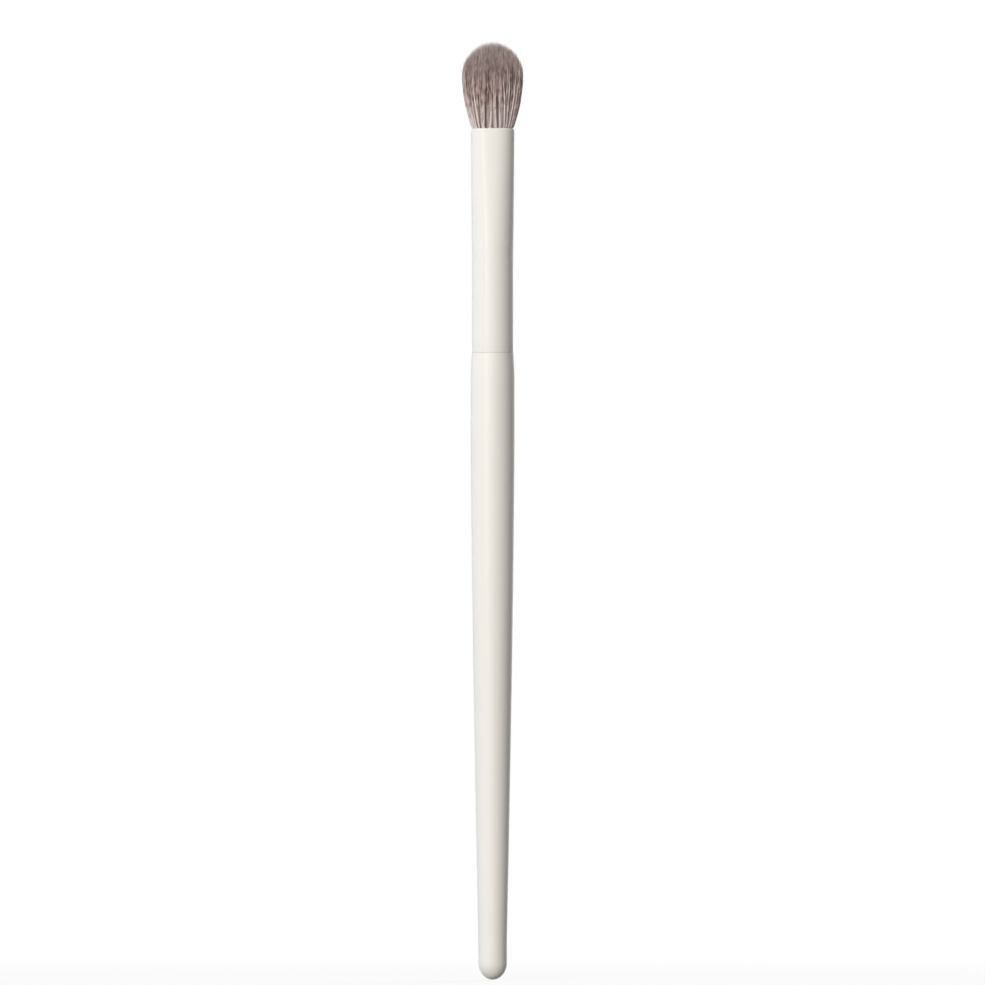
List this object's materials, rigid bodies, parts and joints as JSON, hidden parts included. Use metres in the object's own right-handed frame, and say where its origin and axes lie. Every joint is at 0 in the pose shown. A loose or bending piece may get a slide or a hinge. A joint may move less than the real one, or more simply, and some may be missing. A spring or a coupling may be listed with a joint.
{
  "type": "eyeshadow brush",
  "caption": "Slim blending brush for eyeshadow: domed oval tuft of soft filaments in a pressed metal ferrule on a tapered, glossy cream handle.",
  "frame": {"origin": "lowest point of the handle's rounded end, on the brush's long axis", "axes": "+Z along the brush's axis from the handle's rounded end to the tip of the tuft; X is the wide way of the tuft and of the pressed mouth, Y the thin way"},
  "size_m": [0.0115, 0.0083, 0.175],
  "materials": {
    "handle_lacquer": "gloss",
    "glue": "satin",
    "ferrule_lacquer": "gloss",
    "resin": "gloss",
    "thread": "matte",
    "filament": "matte"
  },
  "bodies": {
    "root": {"handle": "handle_lacquer", "tenon_glue": "glue", "ferrule": "ferrule_lacquer", "resin_plug": "resin", "root_binding": "thread", "tuft": "filament"}
  },
  "joints": []
}
